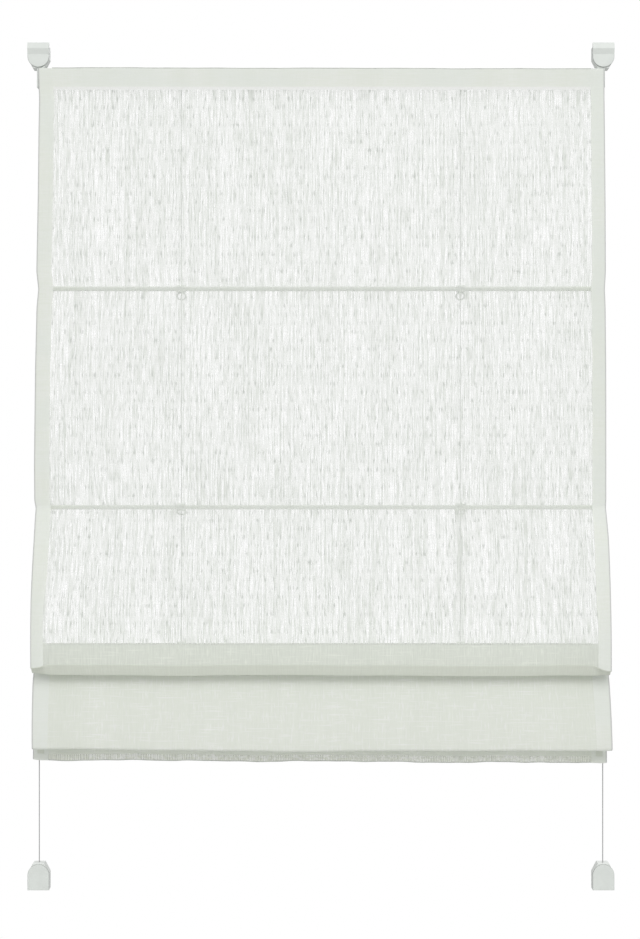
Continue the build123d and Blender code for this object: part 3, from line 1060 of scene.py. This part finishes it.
def height_changes():
    # How far each point is moved up from the side view's line
    fold_1 = climb(length, rod_2_along, fold_1_low[0])
    fold_1 = fold_1 * (1 - climb(length, fold_1_low[1], rod_3_along))
    waves = ripple(across + CREASE_1_SHIFT, FOLD_WAVES) * CREASE_WAVE
    change = fold_1 * (waves - tilt * CREASE_1_TILT)

    fold_2 = climb(length, fold_2_top, fold_2_low[0])
    fold_2 = fold_2 * (1 - climb(length, fold_2_low[1], fold_2_end))
    waves = ripple(across + CREASE_2_SHIFT, FOLD_WAVES) * CREASE_WAVE
    change = change + fold_2 * (waves + CREASE_2_BOW * tilt**2 - CREASE_2_TILT * tilt)

    top_front = 1 - climb(length, 0.0, TOP_FRONT_REACH)
    top_back = 1 - climb(-length, 0.0, TOP_BACK_REACH)
    top = np.where(length < 0, top_back, top_front)
    change = change + top * (ripple(across, TOP_WAVES) - tilt * TOP_TILT)

    tip = climb(from_middle, HALF - TIP_FROM, HALF - TIP_FULL)
    lift = np.where(on_left, *TIP_LIFT) * climb(length, fold_1_low[0] - TIP_LIFT_REACH, fold_1_low[0])
    near_crease = np.exp(-(((length - ends("crease_1")[0]) / TIP_DROP_REACH) ** 2))
    drop = np.where(on_left, *TIP_DROP) * near_crease
    change = change + fold_1 * tip * (lift - drop)

    slack = climb(length, last_top + SLACK_FROM, last_low)
    change = change + slack * (ripple(across, HEM_WAVES) * SLACK_WAVE - tilt * SLACK_TILT)
    corner = np.clip((from_middle - (HALF - CORNER_WIDTH)) / CORNER_WIDTH, 0, 1)
    return change + slack * CORNER_LIFT * corner**2


out = distances_out()
place_y = line[:, 0][:, None] + normal[:, 0][:, None] * out
place_z = line[:, 1][:, None] + normal[:, 1][:, None] * out + height_changes()
points = np.stack([places_across(), place_y, place_z], axis=2).reshape(-1, 3) * MM
weave = np.stack([across, length], axis=2).reshape(-1, 2) * MM

# Looks of the cloth, from row to row
CLOTH_LOOKS = (SHEER, HEM, FOLDED, EDGE_SHADE, DOUBLE_SHADE, STRIP, FOLD_SHADE, POCKET, SEAMED)
HIDDEN_LOOKS = {
    "top_back": FOLDED,
    "top_turn": FOLDED,
    "hem_up": SHEER,
    "hem_over": POCKET,
    "hem_down": POCKET,
}
LIP_PARTS = ("crease_1", "lip_1", "under_1")
FOLDED_PARTS = ("back_1", "front_2", "curl_2", "under_2", "back_2", "turn_2", "last")
# From this far above rod 3 down, the front of fold 1 looks double, because cloth lies behind it; its
# darker yarn colours are painted shade of the layers behind
DOUBLE_ABOVE = 9.0
# Heights between which the last panel lies in the second fold's shadow, and the part of the side hem
# there that gets painted shade
SHADED_LOW = -955.0
SHADED_HIGH = -936.0
SHADED_HEM = (HEM_IN + 3.0, HALF - 4.0)
CLOSE = 0.01
hidden = np.isin(labels, list(HIDDEN_LOOKS))
shaded = (labels == "last") & (line_z > SHADED_LOW) & (line_z < SHADED_HIGH)
band_end = TOP_Z - BAND_LOW
hem_top = last_low - BOTTOM_HEM


def look_below(row):
    # The look between a row of points and the next one, away from the side hems
    label = labels[row]
    middle_z = (line_z[row] + line_z[row + 1]) / 2
    if hidden[row] and hidden[row + 1]:
        return HIDDEN_LOOKS[label]
    # The top edge's line is painted shade
    if along[row + 1] <= EDGE_SHADE_WIDTH + CLOSE:
        return EDGE_SHADE
    if along[row + 1] <= band_end + CLOSE:
        return HEM
    if along[row + 1] <= band_end + SEAM + CLOSE:
        return SEAMED
    if min(abs(middle_z - level) for level in ROD_Z[:2]) < POCKET_FRONT:
        return POCKET
    if label == "front_1" and line_z[row] < ROD_Z[2] + DOUBLE_ABOVE:
        return DOUBLE_SHADE
    if shaded[row]:
        return FOLDED
    # The first fold's crease, lip and underside get painted shade
    if label in LIP_PARTS:
        return FOLD_SHADE
    if label in FOLDED_PARTS and along[row] < hem_top:
        return FOLDED
    # The bottom edge's line is painted shade
    if last_low - EDGE_SHADE_WIDTH - CLOSE < along[row] < ends("hem_turn")[1]:
        return EDGE_SHADE
    return STRIP if along[row] >= hem_top else SHEER


faces = []
looks = []
for row in range(rows - 1):
    inside = look_below(row)
    for column in range(wide - 1):
        is_hem = column_hem[column] or column_hem[column + 1]
        if is_hem and (hidden[row] or hidden[row + 1]):
            continue
        first = row * wide + column
        faces.append((first, first + wide, first + wide + 1, first + 1))
        middle_x = abs(column_x[column] + column_x[column + 1]) / 2
        in_strip = shaded[row] and SHADED_HEM[0] < middle_x < SHADED_HEM[1]
        # Painted shade: a dark patch on the side hem in the second fold's shadow
        if in_strip and not back_layer[column]:
            looks.append(FOLD_SHADE)
        elif is_hem and inside != FOLD_SHADE:
            looks.append(HEM)
        else:
            looks.append(inside)

# Pockets: narrow tubes of cloth behind the sheet, open at the slits for the clips
POCKET_RADIUS = 2.5
POCKET_HIGH = 3.1
POCKET_SAG = 0.2
POCKET_TURN = np.radians(np.linspace(205, 515, 15))
POCKET_STEP = 9
SLIT = 13.0
POCKET_SPANS = (
    (-HEM_IN, -DROP_X - SLIT / 2),
    (-DROP_X + SLIT / 2, DROP_X - SLIT / 2),
    (DROP_X + SLIT / 2, HEM_IN),
)
wrap = len(POCKET_TURN)
pocket_points = []
pocket_weave = []
for level in ROD_Z:
    for low, high in POCKET_SPANS:
        stops = np.linspace(low, high, max(2, int((high - low) / POCKET_STEP) + 1))
        base = len(points) + len(pocket_points)
        for x in stops:
            for angle in POCKET_TURN:
                y = ROD_Y + POCKET_RADIUS * math.cos(angle)
                z = level - POCKET_SAG + POCKET_HIGH * math.sin(angle)
                pocket_points.append((x * MM, y * MM, z * MM))
                pocket_weave.append((x * MM, (level + POCKET_RADIUS * angle) * MM))
        for stop in range(len(stops) - 1):
            for step in range(wrap - 1):
                first = base + stop * wrap + step
                faces.append((first, first + wrap, first + wrap + 1, first + 1))
                looks.append(POCKET)

points = np.concatenate([points, np.array(pocket_points)])
weave = np.concatenate([weave, np.array(pocket_weave)])
cloth = new_mesh("cloth_linen", points, faces, CLOTH_LOOKS)
cloth.data.polygons.foreach_set("material_index", [CLOTH_LOOKS.index(look) for look in looks])
set_uv(cloth, "weave", weave)
cloth.data.update()

# A slanting line between the still and the lifting body; the cloth is baked in place, not shared out
# along it
BLEND_DROP = 190.0
LEAN = 0.0205
slope = np.array([0.0, LEAN, -1 / BLEND_DROP])
slope = slope / slope.dot(slope)
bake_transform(cloth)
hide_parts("cloth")


# Studio: white to the camera, soft light from all round, a large lamp above the camera and one behind
LIGHT_ALL_ROUND = 0.20
LIGHT_ABOVE = 0.42
LIGHT_IN_FRONT = 0.56
LIGHT_BEHIND = 0.45
LAMP_TARGET = (0, 0, -0.55)
LAMP_SIZE = 3.0


def make_studio():
    world = bpy.data.worlds.new("studio")
    scene.world = world
    tree = Tree(world)
    seen = tree.add("Background")
    seen.inputs["Color"].default_value = rgba(1, 1, 1)
    seen.inputs["Strength"].default_value = 1.0
    lit = tree.add("Background")
    lit.inputs["Color"].default_value = rgba(1, 1, 1)
    way = tree.add("SeparateXYZ")
    tree.link(tree.add("TexCoord").outputs["Generated"], way.inputs[0])
    above = tree.math("MAXIMUM", way.outputs["Z"], 0.0)
    in_front = tree.math("MAXIMUM", tree.math("MULTIPLY", way.outputs["Y"], -1.0), 0.0)
    behind = tree.math("MAXIMUM", way.outputs["Y"], 0.0)
    glow = tree.math("MULTIPLY", above, LIGHT_ABOVE)
    glow = tree.math("ADD", glow, tree.math("MULTIPLY", in_front, LIGHT_IN_FRONT))
    glow = tree.math("ADD", glow, tree.math("MULTIPLY", behind, LIGHT_BEHIND))
    tree.link(tree.math("ADD", glow, LIGHT_ALL_ROUND), lit.inputs["Strength"])
    ray = tree.add("LightPath")
    choice = tree.add("MixShader")
    tree.link(ray.outputs["Is Camera Ray"], choice.inputs["Fac"])
    tree.link(lit.outputs["Background"], choice.inputs[1])
    tree.link(seen.outputs["Background"], choice.inputs[2])
    output = tree.add("OutputWorld")
    tree.link(choice.outputs["Shader"], output.inputs["Surface"])


def area_light(name, place, power):
    data = bpy.data.lights.new(name, "AREA")
    data.shape = "DISK"
    data.size = LAMP_SIZE
    data.energy = power
    lamp = bpy.data.objects.new(name, data)
    lamp.location = place
    way = np.array(LAMP_TARGET) - np.array(place)
    flat_way = math.hypot(way[0], way[1])
    lamp.rotation_euler = (
        math.atan2(flat_way, -way[2]),
        0,
        math.atan2(way[1], way[0]) - math.pi / 2,
    )
    scene.collection.objects.link(lamp)


make_studio()
area_light("key", place=(0.3, -4.2, 2.6), power=84.0)
area_light("rear", place=(0.9, 3.6, 2.2), power=40.0)

# Floor: a pale round patch well below the blind, fading out at its rim
FLOOR_Z = -1.72
FLOOR_RADIUS = 1.45
FLOOR_FADE_FROM = 0.8
FLOOR_SIDES = 64


def make_floor():
    material, tree, shader = surface("floor_pale")
    shader.inputs["Base Color"].default_value = rgba(0.86, 0.86, 0.85)
    shader.inputs["Roughness"].default_value = 0.9
    distance = tree.add("VectorMath", operation="LENGTH")
    tree.link(tree.add("TexCoord").outputs["Object"], distance.inputs[0])
    cover = tree.spread(distance.outputs["Value"], FLOOR_FADE_FROM, FLOOR_RADIUS, 1.0, 0.0)
    tree.link(cover, shader.inputs["Alpha"])
    rim = [
        (FLOOR_RADIUS * math.cos(turn), FLOOR_RADIUS * math.sin(turn), 0.0)
        for turn in np.linspace(0, 2 * math.pi, FLOOR_SIDES, endpoint=False)
    ]
    floor = new_mesh("floor", rim, [tuple(range(FLOOR_SIDES))], [material])
    floor.location = (0, 0, FLOOR_Z)
    return floor


make_floor()

scene.view_settings.view_transform = "Standard"
